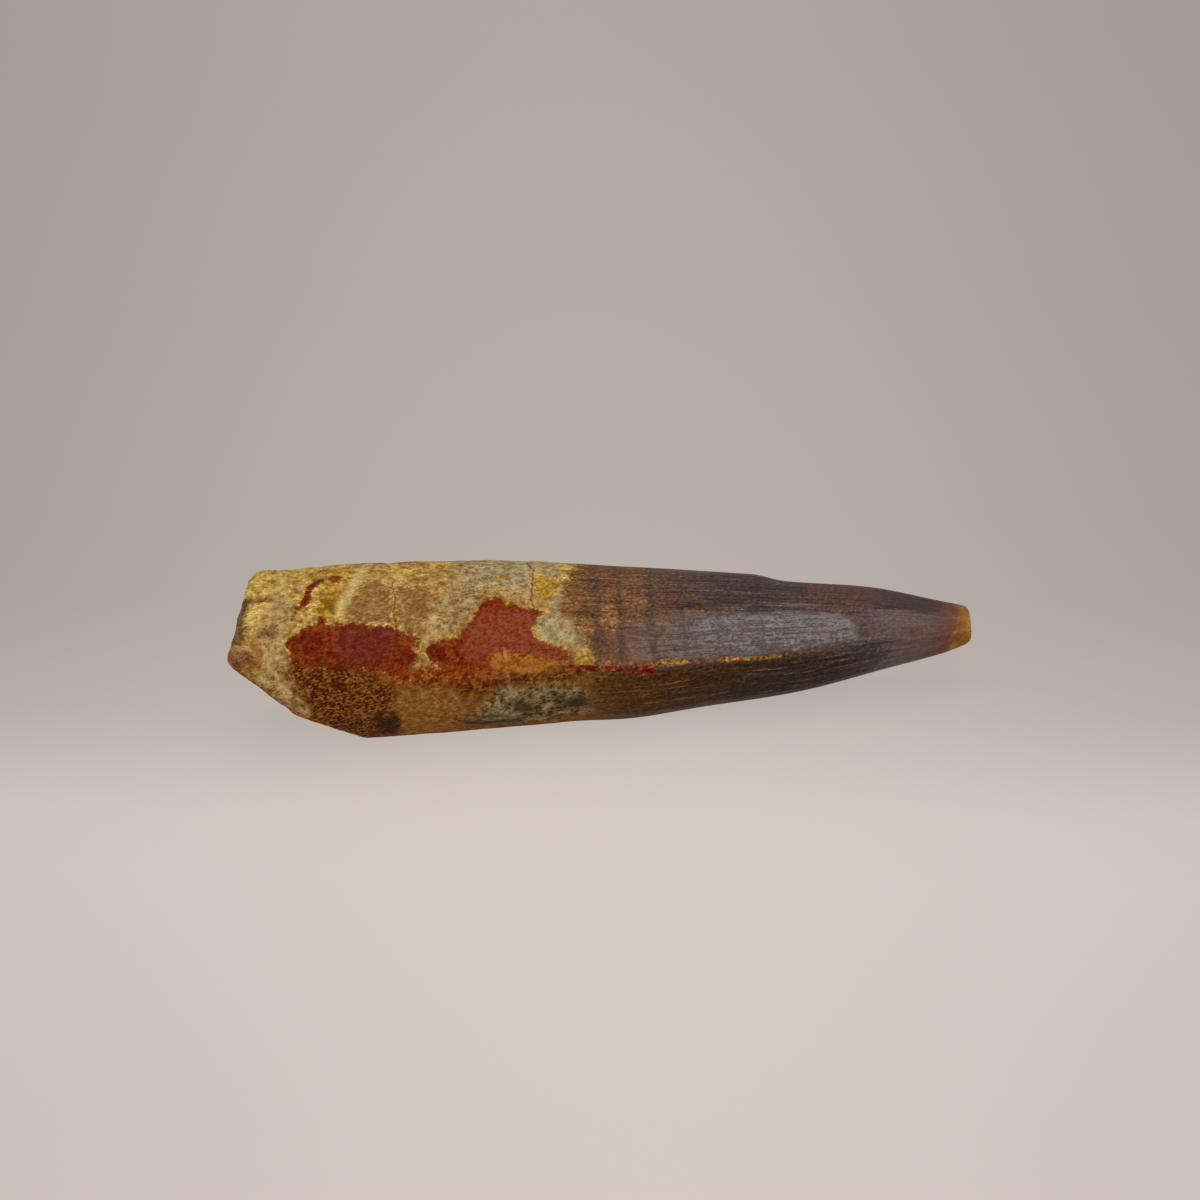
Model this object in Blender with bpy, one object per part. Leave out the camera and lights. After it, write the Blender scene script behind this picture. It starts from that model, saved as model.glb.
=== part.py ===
"""A fossil tooth of a spinosaur, lying on its side as it rests on a table.

The tooth is one solid. It lies along X, from the broken root end to the worn tip, and stands on
the floor plane Z = 0 on a small flat spot worn under the root and the base of the crown.

Places on the tooth are given by two values. "Along" is the distance from the root end. "Around"
is an angle in degrees, from the near cutting edge at -Y (0), over the top (90), to the far
cutting edge at +Y (180), and by the underside (270) back again.
"""

import math

import bmesh
import bpy
from mathutils import Vector, noise

MM = 0.001

# The whole tooth
LENGTH = 100.0 * MM
WIDTH_OVER_HEIGHT = 1.149
FLAT_SPOT_DEPTH = 0.35 * MM

# Sections along the tooth, in millimetres:
# along, half height, height of the axis over the underside's lowest line, bend away to +Y
STATIONS_MM = (
    (0.0, 11.75, 11.72, 0.0),
    (20.0, 11.64, 11.64, 0.0),
    (36.0, 11.24, 11.23, 0.0),
    (46.0, 10.60, 10.68, 0.0),
    (53.0, 10.10, 10.08, 0.15),
    (62.0, 9.14, 9.79, 0.4),
    (76.0, 7.60, 9.10, 1.1),
    (88.0, 5.36, 8.72, 1.9),
    (96.0, 3.53, 8.10, 2.6),
    (100.0, 2.42, 8.02, 3.0),
)

# The crown: two cutting edges, and low lengthwise ridges between flat facets
CROWN_START = 44.0 * MM
CROWN_FULL = 56.0 * MM
CUTTING_EDGE_HEIGHT = 0.055
CUTTING_EDGE_SPREAD = 16.0
RIDGES_AROUND = (40.0, 66.0, 92.0, 118.0, 146.0, 214.0, 246.0, 286.0, 313.0)
RIDGE_HEIGHT = 0.020
RIDGE_SPREAD = 8.0

# The worn dent on top of the crown
DENT_START = 70.5 * MM
DENT_DEEPEST = 75.5 * MM
DENT_END = 88.0 * MM
DENT_DEPTH = 0.62 * MM
DENT_AROUND = 108.0
DENT_SPREAD = 34.0

# The broken root end: how far along the break lies at each height, in millimetres.
# Heights are measured square to the break's ledges, which lean down towards the back.
BREAK_LEAN = 17.7
BREAK_FOOT = 0.62 * MM
BREAK_PROFILE_MM = (
    (-2.0, 20.2),
    (0.5, 15.2),
    (3.4, 8.65),
    (4.6, 7.25),
    (8.5, 2.9),
    (10.6, 0.6),
    (11.9, 0.15),
    (13.4, 0.65),
    (16.5, 0.95),
    (20.5, 2.35),
    (24.5, 3.5),
)
BREAK_LUMPS = ((6.5 * MM, 0.75 * MM), (2.6 * MM, 0.40 * MM))
BREAK_RIM_CALM = 0.35
RIM_ROUNDING = 1.5 * MM
RIM_INSET = 0.4 * MM
RING_STRAIGHTENING = 46.0 * MM

# The scoop knocked out of the near rim, the smooth knob below it and the crack above it
SCOOP_AROUND = 50.0
SCOOP_SPREAD = 15.0
SCOOP_DEPTH = 1.5 * MM
KNOB_ALONG = 1.9 * MM
KNOB_AROUND = 22.0
KNOB_LENGTH = 1.7 * MM
KNOB_SPREAD = 6.5
KNOB_HEIGHT = 1.05 * MM
CRACK_AROUND = 62.0
CRACK_SPREAD = 3.6
CRACK_END = 6.5 * MM
CRACK_DEPTH = 0.7 * MM

# Lumps and pits of the root, none of them on the flat spot
LUMP_SIZE = 8.0 * MM
LUMP_HEIGHT = 0.22 * MM
PIT_SIZE = 3.0 * MM
PIT_DEPTH = 0.30 * MM
ROOT_END = 52.0 * MM

# The worn tip
TIP_ROUNDING = 1.0 * MM
TIP_INSET = 0.55 * MM
TIP_BULGE = 0.12 * MM

# The mesh
SEGMENTS = 76
RING_STEP = 2.15 * MM
RIM_RINGS = (0.0, 0.25 * MM, 0.8 * MM, 1.5 * MM)
BREAK_RINGS = 9
TIP_RINGS = 2
SHARP_ANGLE = 38.0


def smooth_step(low, high, value):
    """Rises from 0 at low to 1 at high."""
    part = min(1.0, max(0.0, (value - low) / (high - low)))
    return part * part * (3.0 - 2.0 * part)


def hill(value, centre, spread):
    """A rounded hill of height 1 at the centre."""
    return math.exp(-(((value - centre) / spread) ** 2))


def keel(offset, spread):
    """A sharp-topped ridge of height 1 with hollow flanks."""
    return math.exp(-abs(offset) / spread)


def turn_between(around, centre):
    """The angle between two places around the tooth, from -180 to 180 degrees."""
    return (around - centre + 180.0) % 360.0 - 180.0


def curve_through(points, column, place):
    """A smooth curve through one column of a table whose first column is the place."""
    last = len(points) - 2
    span = 0
    while span < last and place > points[span + 1][0]:
        span += 1

    def slope(index):
        before = points[max(index - 1, 0)]
        after = points[min(index + 1, len(points) - 1)]
        return (after[column] - before[column]) / (after[0] - before[0])

    start, end = points[span], points[span + 1]
    width = end[0] - start[0]
    t = min(1.0, max(0.0, (place - start[0]) / width))
    rise = end[column] - start[column]
    start_pull = slope(span) * width - rise
    end_pull = rise - slope(span + 1) * width
    blend = (1.0 - t) * start_pull + t * end_pull
    return start[column] + t * rise + t * (1.0 - t) * blend


def section(along):
    """Half height, height of the axis over the floor, and sideways bend at a place along."""
    place = along / MM
    half_height, axis_height, bend = (curve_through(STATIONS_MM, c, place) * MM for c in (1, 2, 3))
    return half_height, axis_height - FLAT_SPOT_DEPTH, bend


def crown_relief(along, around):
    """Share of the radius that the cutting edges and the ridges add."""
    crown = smooth_step(CROWN_START, CROWN_FULL, along)
    relief = 0.0
    for edge in (0.0, 180.0):
        relief += CUTTING_EDGE_HEIGHT * keel(turn_between(around, edge), CUTTING_EDGE_SPREAD)
    for ridge in RIDGES_AROUND:
        relief += RIDGE_HEIGHT * keel(turn_between(around, ridge), RIDGE_SPREAD)
    return crown * relief


def root_relief(point, along, around):
    """Lumps that stand out of the root, less the pits in it."""
    root = 1.0 - smooth_step(0.6 * ROOT_END, ROOT_END, along)
    off_flat = 1.0 - hill(turn_between(around, 270.0), 0.0, 32.0)
    lumps = LUMP_HEIGHT * noise.noise(point / LUMP_SIZE)
    pits = PIT_DEPTH * max(0.0, noise.noise(point / PIT_SIZE) - 0.2)
    return root * off_flat * (lumps - pits)


def end_relief(along, around):
    """The knob and the crack at the near side of the broken end."""
    knob = hill(along, KNOB_ALONG, KNOB_LENGTH)
    knob *= hill(turn_between(around, KNOB_AROUND), 0.0, KNOB_SPREAD)
    crack_width = hill(turn_between(around, CRACK_AROUND), 0.0, CRACK_SPREAD)
    crack = crack_width * (1.0 - smooth_step(0.6 * CRACK_END, CRACK_END, along))
    return KNOB_HEIGHT * knob - CRACK_DEPTH * crack


def dent(along, around):
    """Depth of the worn dent on top of the crown."""
    lengthwise = smooth_step(DENT_START, DENT_DEEPEST, along)
    lengthwise *= 1.0 - smooth_step(DENT_DEEPEST, DENT_END, along)
    return DENT_DEPTH * lengthwise * hill(turn_between(around, DENT_AROUND), 0.0, DENT_SPREAD)


def skin_point(along, around, inset=0.0):
    """The point of the tooth's outside at a place along and around it."""
    half_height, axis_height, bend = section(along)
    angle = math.radians(around)
    across = -math.cos(angle) * WIDTH_OVER_HEIGHT
    up = math.sin(angle)
    radius = half_height * (1.0 + crown_relief(along, around))
    place = Vector((along, bend + across * radius, axis_height + up * radius))
    radius += root_relief(place, along, around) + end_relief(along, around)
    radius -= dent(along, around) + inset
    return Vector((along, bend + across * radius, axis_height + up * radius))


def break_along(y, z):
    """How far along the tooth its broken end lies, at a point of the section."""
    lean = math.radians(BREAK_LEAN)
    height = z * math.cos(lean) + y * math.sin(lean) + BREAK_FOOT
    ledge = curve_through(BREAK_PROFILE_MM, 1, height / MM) * MM
    half_height, axis_height, _ = section(0.0)
    from_axis = math.hypot(y / WIDTH_OVER_HEIGHT, z - axis_height) / half_height
    near_rim = smooth_step(0.55, 1.0, from_axis)
    around = math.degrees(math.atan2(z - axis_height, -y))
    scoop = SCOOP_DEPTH * near_rim * hill(turn_between(around, SCOOP_AROUND), 0.0, SCOOP_SPREAD)
    rough = 0.0
    for size, depth in BREAK_LUMPS:
        rough += depth * noise.noise(Vector((7.0, y / size, z / size)))
    return ledge + scoop + rough * (1.0 - near_rim * (1.0 - BREAK_RIM_CALM))


def rim_along(around):
    """Where the break meets the outside of the tooth, found by going back and forth."""
    along = 3.0 * MM
    for _ in range(8):
        point = skin_point(along, around, RIM_INSET)
        along = break_along(point.y, point.z)
    return along


def ring_places(around):
    """Places along, inset and order of the rings, from the broken rim to the tip."""
    rim = rim_along(around)
    count = round((LENGTH - RIM_RINGS[-1]) / RING_STEP)
    step = (LENGTH - TIP_ROUNDING - RIM_RINGS[-1]) / count
    nominal = list(RIM_RINGS) + [RIM_RINGS[-1] + step * (i + 1) for i in range(count)]
    nominal += [LENGTH - 0.6 * TIP_ROUNDING, LENGTH - 0.25 * TIP_ROUNDING, LENGTH]
    places = []
    for distance in nominal:
        along = distance + rim * max(0.0, 1.0 - distance / RING_STRAIGHTENING)
        from_rim = max(0.0, 1.0 - distance / RIM_ROUNDING)
        from_tip = max(0.0, 1.0 - (LENGTH - distance) / TIP_ROUNDING)
        inset = RIM_INSET * (1.0 - math.sqrt(1.0 - from_rim**2))
        inset += TIP_INSET * (1.0 - math.sqrt(1.0 - from_tip**2))
        places.append((along, inset))
    return places


def loft_rings():
    """The rings of the outside, each a list of points once around."""
    columns = []
    for segment in range(SEGMENTS):
        around = 360.0 * segment / SEGMENTS
        columns.append([skin_point(along, around, inset) for along, inset in ring_places(around)])
    return [list(ring) for ring in zip(*columns)]


def cap_rings(rim, centre, count, along_at):
    """Rings that close an end, ever smaller, with the end's own shape along the tooth."""
    rings = []
    for index in range(1, count):
        share = 1.0 - index / count
        ring = []
        for point in rim:
            y = centre[0] + share * (point.y - centre[0])
            z = centre[1] + share * (point.z - centre[1])
            ring.append(Vector((along_at(y, z, share), y, z)))
        rings.append(ring)
    return rings


def bridge(mesh, first, second):
    """Quads between two rings of the same number of vertices."""
    for index in range(len(first)):
        following = (index + 1) % len(first)
        mesh.faces.new((first[index], first[following], second[following], second[index]))


def close_with_fan(mesh, ring, point, outward_first):
    """Triangles from the last ring to a middle vertex."""
    middle = mesh.verts.new(point)
    for index in range(len(ring)):
        following = (index + 1) % len(ring)
        corners = (middle, ring[following], ring[index])
        mesh.faces.new(corners if outward_first else corners[::-1])


def tooth_mesh():
    """The closed mesh of the tooth, cut flat where it rests."""
    rings = loft_rings()
    root_axis = (0.0, section(0.0)[1])
    tip_axis = (section(LENGTH)[2], section(LENGTH)[1])

    def tip_along(_y, _z, share):
        return LENGTH + TIP_BULGE * (1.0 - share**2)

    root_cap = cap_rings(rings[0], root_axis, BREAK_RINGS, lambda y, z, _share: break_along(y, z))
    tip_cap = cap_rings(rings[-1], tip_axis, TIP_RINGS, tip_along)

    mesh = bmesh.new()
    loops = [[mesh.verts.new(point) for point in ring] for ring in root_cap[::-1] + rings + tip_cap]
    for first, second in zip(loops, loops[1:]):
        bridge(mesh, first, second)
    root_middle = Vector((break_along(*root_axis), *root_axis))
    tip_middle = Vector((LENGTH + TIP_BULGE, *tip_axis))
    close_with_fan(mesh, loops[0], root_middle, True)
    close_with_fan(mesh, loops[-1], tip_middle, False)
    bmesh.ops.recalc_face_normals(mesh, faces=mesh.faces)

    everything = mesh.verts[:] + mesh.edges[:] + mesh.faces[:]
    cut = bmesh.ops.bisect_plane(
        mesh, geom=everything, dist=0.00001, plane_co=(0, 0, 0), plane_no=(0, 0, 1), clear_inner=True
    )
    for item in cut["geom_cut"]:
        if isinstance(item, bmesh.types.BMVert):
            item.co.z = 0.0
    flat_edges = [item for item in cut["geom_cut"] if isinstance(item, bmesh.types.BMEdge)]
    bmesh.ops.holes_fill(mesh, edges=flat_edges, sides=0)
    bmesh.ops.triangulate(mesh, faces=mesh.faces)
    bmesh.ops.recalc_face_normals(mesh, faces=mesh.faces)
    bmesh.ops.translate(mesh, verts=mesh.verts, vec=(-LENGTH / 2, 0, 0))
    return mesh


def tooth_material():
    """Brown fossil enamel and bone."""
    material = bpy.data.materials.new("fossil_tooth")
    material.use_nodes = True
    shader = material.node_tree.nodes["Principled BSDF"]
    shader.inputs["Base Color"].default_value = (0.20, 0.11, 0.05, 1.0)
    shader.inputs["Roughness"].default_value = 0.5
    shader.inputs["Metallic"].default_value = 0.0
    return material


def clear_scene():
    """An empty scene to start from."""
    for thing in list(bpy.data.objects):
        bpy.data.objects.remove(thing, do_unlink=True)


def main():
    clear_scene()
    collection = bpy.data.collections.new("spinosaurus_tooth")
    bpy.context.scene.collection.children.link(collection)
    data = bpy.data.meshes.new("tooth")
    mesh = tooth_mesh()
    mesh.to_mesh(data)
    mesh.free()
    data.shade_smooth()
    data.set_sharp_from_angle(angle=math.radians(SHARP_ANGLE))
    data.materials.append(tooth_material())
    collection.objects.link(bpy.data.objects.new("tooth", data))


main()
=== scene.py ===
"""Looks of a fossil spinosaur tooth that lies on a plain pale floor.

The tooth's outside is the same as in the CAD model, from the same named sizes, on a finer mesh
with its grain, pits and enamel wrinkles. Places on the tooth are given by two values. "Along" is
the distance from the broken root end. "Around" is an angle in degrees, from the near cutting
edge at -Y (0), over the top (90), to the far cutting edge at +Y (180), and by the underside
(270) back again.
"""

import math

import bmesh
import bpy
import numpy as np
from mathutils import Matrix, Vector, noise


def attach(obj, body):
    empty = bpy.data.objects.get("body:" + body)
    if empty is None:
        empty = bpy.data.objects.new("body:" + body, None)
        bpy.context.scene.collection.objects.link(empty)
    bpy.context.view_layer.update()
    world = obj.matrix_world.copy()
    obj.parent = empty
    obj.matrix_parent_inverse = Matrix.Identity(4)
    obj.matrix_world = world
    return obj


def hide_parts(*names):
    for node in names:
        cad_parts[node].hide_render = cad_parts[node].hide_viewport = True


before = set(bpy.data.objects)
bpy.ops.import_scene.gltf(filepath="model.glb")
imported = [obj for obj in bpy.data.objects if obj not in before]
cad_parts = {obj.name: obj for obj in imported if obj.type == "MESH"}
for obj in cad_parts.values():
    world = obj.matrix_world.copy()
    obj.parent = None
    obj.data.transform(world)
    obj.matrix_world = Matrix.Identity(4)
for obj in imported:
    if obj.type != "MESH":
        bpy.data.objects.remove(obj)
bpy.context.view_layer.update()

MM = 0.001

# The whole tooth
LENGTH = 100.0 * MM
WIDTH_OVER_HEIGHT = 1.149
FLAT_SPOT_DEPTH = 0.35 * MM

# Sections along the tooth, in millimetres:
# along, half height, height of the axis over the underside's lowest line, bend away to +Y
STATIONS_MM = (
    (0.0, 11.75, 11.72, 0.0),
    (20.0, 11.64, 11.64, 0.0),
    (36.0, 11.24, 11.23, 0.0),
    (46.0, 10.60, 10.68, 0.0),
    (53.0, 10.10, 10.08, 0.15),
    (62.0, 9.14, 9.79, 0.4),
    (76.0, 7.60, 9.10, 1.1),
    (88.0, 5.36, 8.72, 1.9),
    (96.0, 3.53, 8.10, 2.6),
    (100.0, 2.42, 8.02, 3.0),
)

# The crown: two cutting edges, and low lengthwise ridges between flat facets
CROWN_START = 44.0 * MM
CROWN_FULL = 56.0 * MM
CUTTING_EDGE_HEIGHT = 0.055
CUTTING_EDGE_SPREAD = 16.0
RIDGES_AROUND = (40.0, 66.0, 92.0, 118.0, 146.0, 214.0, 246.0, 286.0, 313.0)
RIDGE_HEIGHT = 0.020
RIDGE_SPREAD = 8.0

# The worn dent on top of the crown
DENT_START = 70.5 * MM
DENT_DEEPEST = 75.5 * MM
DENT_END = 88.0 * MM
DENT_DEPTH = 0.62 * MM
DENT_AROUND = 108.0
DENT_SPREAD = 34.0

# The broken root end: how far along the break lies at each height, in millimetres.
# Heights are measured square to the break's ledges, which lean down towards the back.
BREAK_LEAN = 17.7
BREAK_FOOT = 0.62 * MM
BREAK_PROFILE_MM = (
    (-2.0, 20.2),
    (0.5, 15.2),
    (3.4, 8.65),
    (4.6, 7.25),
    (8.5, 2.9),
    (10.6, 0.6),
    (11.9, 0.15),
    (13.4, 0.65),
    (16.5, 0.95),
    (20.5, 2.35),
    (24.5, 3.5),
)
BREAK_LUMPS = ((6.5 * MM, 0.75 * MM), (2.6 * MM, 0.40 * MM))
BREAK_RIM_CALM = 0.35
RIM_ROUNDING = 1.5 * MM
RIM_INSET = 0.4 * MM
RING_STRAIGHTENING = 46.0 * MM

# The scoop knocked out of the near rim, the smooth knob below it and the crack above it
SCOOP_AROUND = 50.0
SCOOP_SPREAD = 15.0
SCOOP_DEPTH = 1.5 * MM
KNOB_ALONG = 1.9 * MM
KNOB_AROUND = 22.0
KNOB_LENGTH = 1.7 * MM
KNOB_SPREAD = 6.5
KNOB_HEIGHT = 1.05 * MM
CRACK_AROUND = 62.0
CRACK_SPREAD = 3.6
CRACK_END = 6.5 * MM
CRACK_DEPTH = 0.7 * MM

# Lumps and pits of the root, none of them near the flat spot
LUMP_SIZE = 8.0 * MM
LUMP_HEIGHT = 0.22 * MM
PIT_SIZE = 3.0 * MM
PIT_DEPTH = 0.30 * MM
PIT_THRESHOLD = 0.2
ROOT_END = 52.0 * MM
FLAT_SPOT_AROUND = 270.0
FLAT_SPOT_CLEARANCE = 32.0

# The worn tip
TIP_ROUNDING = 1.0 * MM
TIP_INSET = 0.55 * MM
TIP_BULGE = 0.12 * MM
TIP_WAVE = (0.9 * MM, 0.10 * MM)

# Relief too fine for the CAD model, cut into its surface.
# Grain and waves are pairs of a size and a height. Spans along the tooth are in millimetres.
ROOT_GRAIN = ((1.7 * MM, 0.09 * MM), (0.75 * MM, 0.07 * MM))
GRAIN_MEAN = 0.45
WEATHERED_GRAIN = 1.7
WEATHERED_DEPTH = 0.03 * MM
BREAK_GRAIN = 1.6
BREAK_GRAIN_MEAN = 0.55
LANE_RADIUS = 9.0
WRINKLES = ((14.0, 0.50, 0.050 * MM), (22.0, 1.60, 0.060 * MM))
WRINKLE_MEAN = 0.5
WRINKLES_FADE = (83.0, 88.0)
WRINKLES_LOST = 0.75
ENAMEL_THICKNESS = 0.05 * MM
ENAMEL_THINS = (30.0, 44.0)
EDGE_LIP_HEIGHT = 0.16 * MM
EDGE_LIP_SPREAD = 2.2
CHIP_SIZE = 1.6

# The fine mesh
SEGMENTS = 400
RING_STEP = 0.45 * MM
RIM_STEP = 0.25 * MM
BREAK_RINGS = 12
TIP_RINGS = 4
TIP_STEPS = (0.8, 0.6, 0.4, 0.25, 0.12, 0.04, 0.0)
RIM_ROUNDS = 8
CUT_TOLERANCE = 0.01 * MM


# Shape

def smooth_step(low, high, value):
    """Rises from 0 at low to 1 at high."""
    part = min(1.0, max(0.0, (value - low) / (high - low)))
    return part * part * (3.0 - 2.0 * part)


def hill(value, centre, spread):
    """A rounded hill of height 1 at the centre."""
    return math.exp(-(((value - centre) / spread) ** 2))


def keel(offset, spread):
    """A sharp-topped ridge of height 1 with hollow flanks."""
    return math.exp(-abs(offset) / spread)


def turn_between(around, centre):
    """The angle between two places around the tooth, from -180 to 180 degrees."""
    return (around - centre + 180.0) % 360.0 - 180.0


def curve_through(points, column, place):
    """A smooth curve through one column of a table whose first column is the place."""
    last = len(points) - 2
    span = 0
    while span < last and place > points[span + 1][0]:
        span += 1

    def slope(index):
        before = points[max(index - 1, 0)]
        after = points[min(index + 1, len(points) - 1)]
        return (after[column] - before[column]) / (after[0] - before[0])

    start, end = points[span], points[span + 1]
    width = end[0] - start[0]
    t = min(1.0, max(0.0, (place - start[0]) / width))
    rise = end[column] - start[column]
    start_pull = slope(span) * width - rise
    end_pull = rise - slope(span + 1) * width
    blend = (1.0 - t) * start_pull + t * end_pull
    return start[column] + t * rise + t * (1.0 - t) * blend


def section(along):
    """Half height, height of the axis over the floor, and sideways bend at a place along."""
    place = along / MM
    half_height, axis_height, bend = (curve_through(STATIONS_MM, c, place) * MM for c in (1, 2, 3))
    return half_height, axis_height - FLAT_SPOT_DEPTH, bend


def crown_relief(along, around):
    """Share of the radius that the cutting edges and the ridges add."""
    crown = smooth_step(CROWN_START, CROWN_FULL, along)
    relief = 0.0
    for edge in (0.0, 180.0):
        relief += CUTTING_EDGE_HEIGHT * keel(turn_between(around, edge), CUTTING_EDGE_SPREAD)
    for ridge in RIDGES_AROUND:
        relief += RIDGE_HEIGHT * keel(turn_between(around, ridge), RIDGE_SPREAD)
    return crown * relief


def off_flat_spot(around):
    """0 over the flat spot and 1 away from it."""
    return 1.0 - hill(turn_between(around, FLAT_SPOT_AROUND), 0.0, FLAT_SPOT_CLEARANCE)


def root_relief(point, along, around):
    """Lumps that stand out of the root, less the pits in it."""
    root = 1.0 - smooth_step(0.6 * ROOT_END, ROOT_END, along)
    lumps = LUMP_HEIGHT * noise.noise(point / LUMP_SIZE)
    pits = PIT_DEPTH * max(0.0, noise.noise(point / PIT_SIZE) - PIT_THRESHOLD)
    return root * off_flat_spot(around) * (lumps - pits)


def end_relief(along, around):
    """The knob and the crack at the near side of the broken end."""
    knob = hill(along, KNOB_ALONG, KNOB_LENGTH)
    knob *= hill(turn_between(around, KNOB_AROUND), 0.0, KNOB_SPREAD)
    crack_width = hill(turn_between(around, CRACK_AROUND), 0.0, CRACK_SPREAD)
    crack = crack_width * (1.0 - smooth_step(0.6 * CRACK_END, CRACK_END, along))
    return KNOB_HEIGHT * knob - CRACK_DEPTH * crack


def dent(along, around):
    """Depth of the worn dent on top of the crown."""
    lengthwise = smooth_step(DENT_START, DENT_DEEPEST, along)
    lengthwise *= 1.0 - smooth_step(DENT_DEEPEST, DENT_END, along)
    return DENT_DEPTH * lengthwise * hill(turn_between(around, DENT_AROUND), 0.0, DENT_SPREAD)


def lane_point(along, around):
    """A place in millimetres on a straight rod, where lines that run to the tip stay level."""
    angle = math.radians(around)
    return Vector((along / MM, LANE_RADIUS * math.cos(angle), LANE_RADIUS * math.sin(angle)))


def fine_relief(point, along, around):
    """Grain of the root, edge of the enamel and wrinkles of the crown, which the CAD leaves out."""
    place = along / MM
    crown = smooth_step(-0.3, 0.3, place - edge_curve(ENAMEL_EDGE, around))
    weathered = 1.0 - smooth_step(-0.6, 0.6, place - edge_curve(WEATHERED_EDGE, around))
    grain = 0.0
    for size, height in ROOT_GRAIN:
        grain += height * (noise.noise(point / size) - GRAIN_MEAN)
    grain *= 1.0 + (WEATHERED_GRAIN - 1.0) * weathered
    sunk = ENAMEL_THICKNESS * smooth_step(*ENAMEL_THINS, place) + WEATHERED_DEPTH * weathered
    lane = lane_point(along, around)
    wrinkles = 0.0
    for length, width, height in WRINKLES:
        wave = noise.noise(Vector((lane.x / length, lane.y / width, lane.z / width)))
        wrinkles += height * (wave - WRINKLE_MEAN)
    worn = 1.0 - WRINKLES_LOST * smooth_step(*WRINKLES_FADE, place)
    from_edge = min(abs(turn_between(around, 0.0)), abs(turn_between(around, 180.0)))
    chipped = 0.7 + 0.9 * noise.noise(lane / CHIP_SIZE)
    lip = EDGE_LIP_HEIGHT * keel(from_edge, EDGE_LIP_SPREAD) * max(0.0, chipped)
    return off_flat_spot(around) * ((1.0 - crown) * (grain - sunk) + crown * worn * (wrinkles + lip))


def skin_point(along, around, inset=0.0):
    """The point of the tooth's outside at a place along and around it."""
    half_height, axis_height, bend = section(along)
    angle = math.radians(around)
    across = -math.cos(angle) * WIDTH_OVER_HEIGHT
    up = math.sin(angle)
    radius = half_height * (1.0 + crown_relief(along, around))
    place = Vector((along, bend + across * radius, axis_height + up * radius))
    radius += root_relief(place, along, around) + end_relief(along, around)
    radius += fine_relief(place, along, around)
    radius -= dent(along, around) + inset
    return Vector((along, bend + across * radius, axis_height + up * radius))


def break_along(y, z):
    """How far along the tooth its broken end lies, at a point of the section."""
    lean = math.radians(BREAK_LEAN)
    height = z * math.cos(lean) + y * math.sin(lean) + BREAK_FOOT
    ledge = curve_through(BREAK_PROFILE_MM, 1, height / MM) * MM
    half_height, axis_height, _ = section(0.0)
    from_axis = math.hypot(y / WIDTH_OVER_HEIGHT, z - axis_height) / half_height
    near_rim = smooth_step(0.55, 1.0, from_axis)
    around = math.degrees(math.atan2(z - axis_height, -y))
    scoop = SCOOP_DEPTH * near_rim * hill(turn_between(around, SCOOP_AROUND), 0.0, SCOOP_SPREAD)
    rough = 0.0
    for size, depth in BREAK_LUMPS:
        rough += depth * noise.noise(Vector((7.0, y / size, z / size)))
    rough *= 1.0 - near_rim * (1.0 - BREAK_RIM_CALM)
    for size, height in ROOT_GRAIN:
        grain = noise.noise(Vector((3.0, y / size, z / size))) + BREAK_GRAIN_MEAN
        rough += BREAK_GRAIN * height * grain
    return ledge + scoop + rough


def rim_along(around):
    """Where the break meets the outside of the tooth, found by going back and forth."""
    along = 3.0 * MM
    for _ in range(RIM_ROUNDS):
        point = skin_point(along, around, RIM_INSET)
        along = break_along(point.y, point.z)
    return along


def ring_places(around):
    """Places along and insets of the rings, from the broken rim to the tip."""
    rim = rim_along(around)
    near_rim = [RIM_STEP * index for index in range(round(RIM_ROUNDING / RIM_STEP))]
    count = round((LENGTH - TIP_ROUNDING - RIM_ROUNDING) / RING_STEP)
    step = (LENGTH - TIP_ROUNDING - RIM_ROUNDING) / count
    nominal = near_rim + [RIM_ROUNDING + step * index for index in range(count + 1)]
    nominal += [LENGTH - share * TIP_ROUNDING for share in TIP_STEPS]
    places = []
    for distance in nominal:
        along = distance + rim * max(0.0, 1.0 - distance / RING_STRAIGHTENING)
        from_rim = max(0.0, 1.0 - distance / RIM_ROUNDING)
        from_tip = max(0.0, 1.0 - (LENGTH - distance) / TIP_ROUNDING)
        inset = RIM_INSET * (1.0 - math.sqrt(1.0 - from_rim**2))
        inset += TIP_INSET * (1.0 - math.sqrt(1.0 - from_tip**2))
        places.append((along, inset))
    return places


def loft_rings():
    """The rings of the outside, each a list of points once around."""
    columns = []
    for segment in range(SEGMENTS):
        around = 360.0 * segment / SEGMENTS
        columns.append([skin_point(along, around, inset) for along, inset in ring_places(around)])
    return [list(ring) for ring in zip(*columns)]


def cap_rings(rim, centre, count, along_at):
    """Rings that close an end, ever smaller, with the end's own shape along the tooth."""
    rings = []
    for index in range(1, count):
        share = 1.0 - index / count
        ring = []
        for point in rim:
            y = centre[0] + share * (point.y - centre[0])
            z = centre[1] + share * (point.z - centre[1])
            ring.append(Vector((along_at(y, z, share), y, z)))
        rings.append(ring)
    return rings


def bridge(mesh, first, second):
    """Quads between two rings of the same number of vertices."""
    for index in range(len(first)):
        following = (index + 1) % len(first)
        mesh.faces.new((first[index], first[following], second[following], second[index]))


def close_with_fan(mesh, ring, point, outward_first):
    """Triangles from the last ring to a middle vertex."""
    middle = mesh.verts.new(point)
    for index in range(len(ring)):
        following = (index + 1) % len(ring)
        corners = (middle, ring[following], ring[index])
        mesh.faces.new(corners if outward_first else corners[::-1])


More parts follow.
